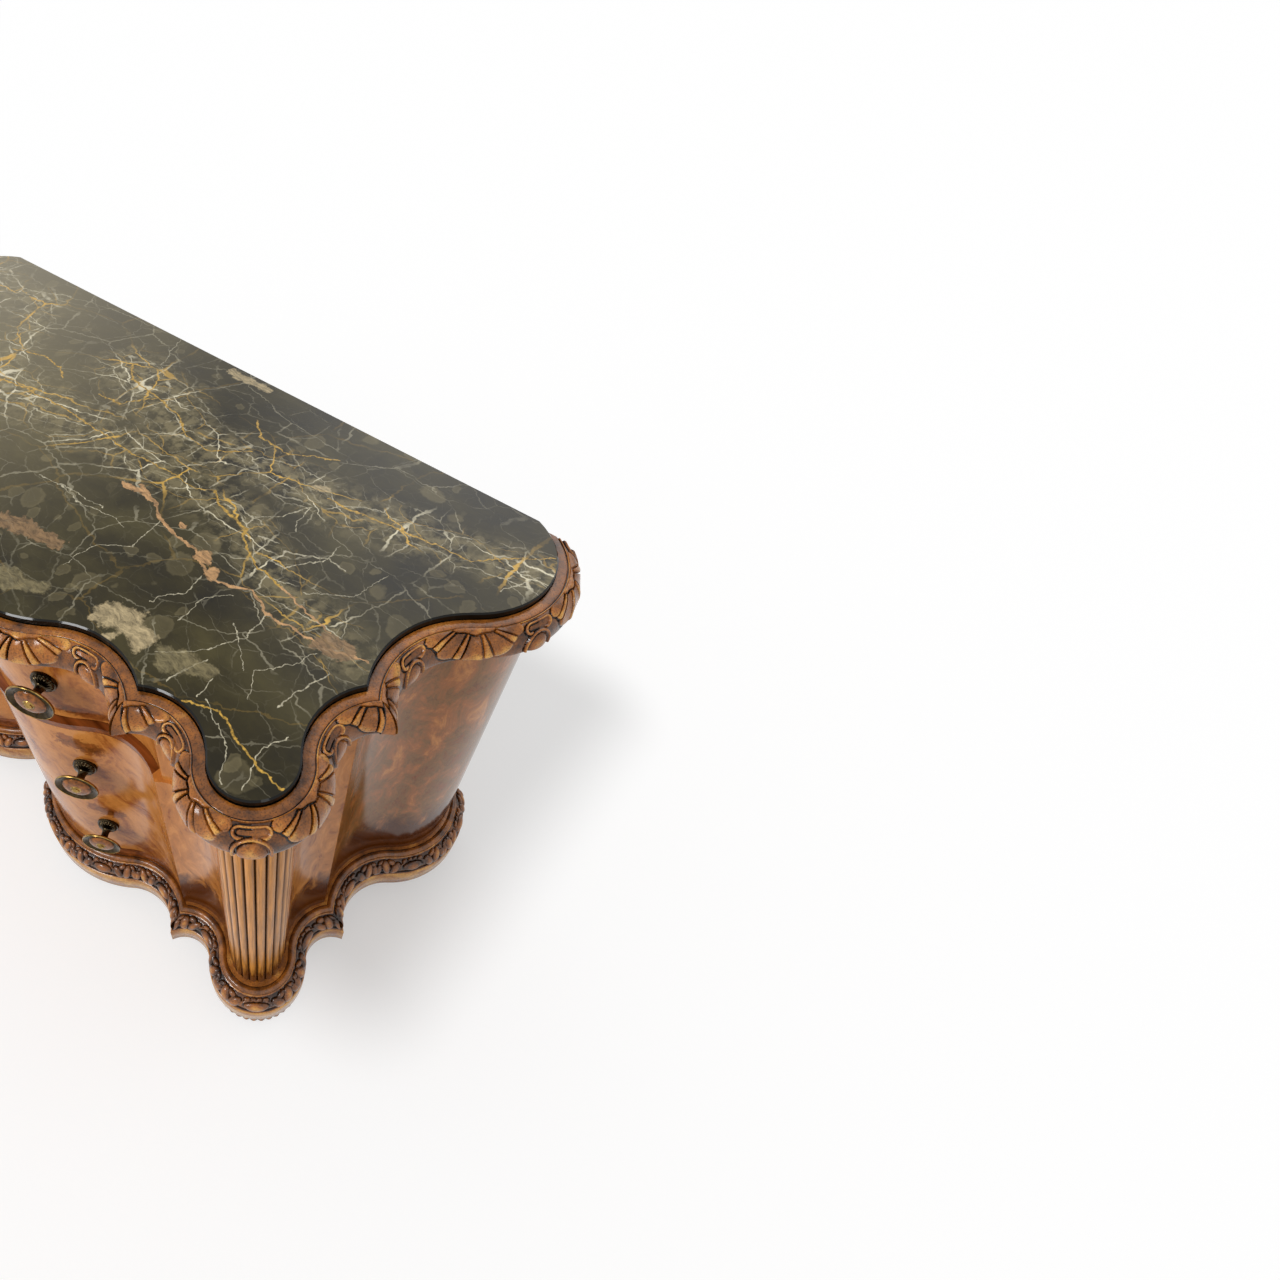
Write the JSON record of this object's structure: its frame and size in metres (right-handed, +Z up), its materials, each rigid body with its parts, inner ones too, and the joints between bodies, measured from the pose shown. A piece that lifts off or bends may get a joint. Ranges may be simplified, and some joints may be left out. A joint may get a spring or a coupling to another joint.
{
  "type": "serpentine commode",
  "caption": "Serpentine chest of drawers with a marble top in a carved frame, reeded corner columns, turned knobs and a carved plinth on bun feet.",
  "frame": {"origin": "middle of the footprint on the floor", "axes": "+X along the width to the right hand of someone facing the drawers, the drawers open towards -Y, +Z up"},
  "size_m": [1.586, 0.6859, 0.85],
  "materials": {
    "walnut_veneer": "polished",
    "walnut_carved": "polished",
    "column_wood": "polished",
    "carcase_wood": "satin",
    "centre_wood": "polished",
    "marble": "polished",
    "knob_brass": "polished",
    "knob_bronze": "polished",
    "screw_steel": "satin"
  },
  "bodies": {
    "carcase": {"back_panel": "carcase_wood", "base_rail": "walnut_veneer", "bottom_board": "carcase_wood", "bottom_runners": "carcase_wood", "column_left": "column_wood", "column_right": "column_wood", "corner_post_left": "walnut_veneer", "corner_post_right": "walnut_veneer", "cornice_corner_left": "walnut_carved", "cornice_corner_right": "walnut_carved", "cornice_front": "walnut_carved", "cornice_side_left": "walnut_carved", "cornice_side_right": "walnut_carved", "front_foot_left": "walnut_carved", "front_foot_right": "walnut_carved", "glue_blocks": "carcase_wood", "ledge_rail": "walnut_veneer", "ledge_runners": "carcase_wood", "marble_top": "marble", "middle_rail": "carcase_wood", "middle_runners": "carcase_wood", "plinth_back": "carcase_wood", "plinth_corner_left": "walnut_carved", "plinth_corner_right": "walnut_carved", "plinth_front": "walnut_carved", "plinth_side_left": "walnut_carved", "plinth_side_right": "walnut_carved", "rear_foot_left": "walnut_carved", "rear_foot_right": "walnut_carved", "side_panel_left": "walnut_veneer", "side_panel_right": "walnut_veneer", "sub_top": "carcase_wood"},
    "frieze_drawer": {"frieze_drawer_back": "carcase_wood", "frieze_drawer_floor": "carcase_wood", "frieze_drawer_front": "walnut_veneer", "frieze_drawer_knob_brasses": "knob_brass", "frieze_drawer_knob_centres": "centre_wood", "frieze_drawer_knob_dishes": "knob_bronze", "frieze_drawer_knob_screws": "screw_steel", "frieze_drawer_side_left": "carcase_wood", "frieze_drawer_side_right": "carcase_wood"},
    "middle_drawer": {"middle_drawer_back": "carcase_wood", "middle_drawer_floor": "carcase_wood", "middle_drawer_front": "walnut_veneer", "middle_drawer_knob_brasses": "knob_brass", "middle_drawer_knob_centres": "centre_wood", "middle_drawer_knob_dishes": "knob_bronze", "middle_drawer_knob_screws": "screw_steel", "middle_drawer_side_left": "carcase_wood", "middle_drawer_side_right": "carcase_wood"},
    "lower_drawer": {"lower_drawer_back": "carcase_wood", "lower_drawer_floor": "carcase_wood", "lower_drawer_front": "walnut_veneer", "lower_drawer_knob_brasses": "knob_brass", "lower_drawer_knob_centres": "centre_wood", "lower_drawer_knob_dishes": "knob_bronze", "lower_drawer_knob_screws": "screw_steel", "lower_drawer_side_left": "carcase_wood", "lower_drawer_side_right": "carcase_wood"}
  },
  "joints": [
    {"name": "frieze_drawer_slide", "type": "slide", "parent": "carcase", "child": "frieze_drawer", "axis": [0, -1, 0], "range_m": [0, 0.35]},
    {"name": "middle_drawer_slide", "type": "slide", "parent": "carcase", "child": "middle_drawer", "axis": [0, -1, 0], "range_m": [0, 0.35]},
    {"name": "lower_drawer_slide", "type": "slide", "parent": "carcase", "child": "lower_drawer", "axis": [0, -1, 0], "range_m": [0, 0.35]}
  ]
}
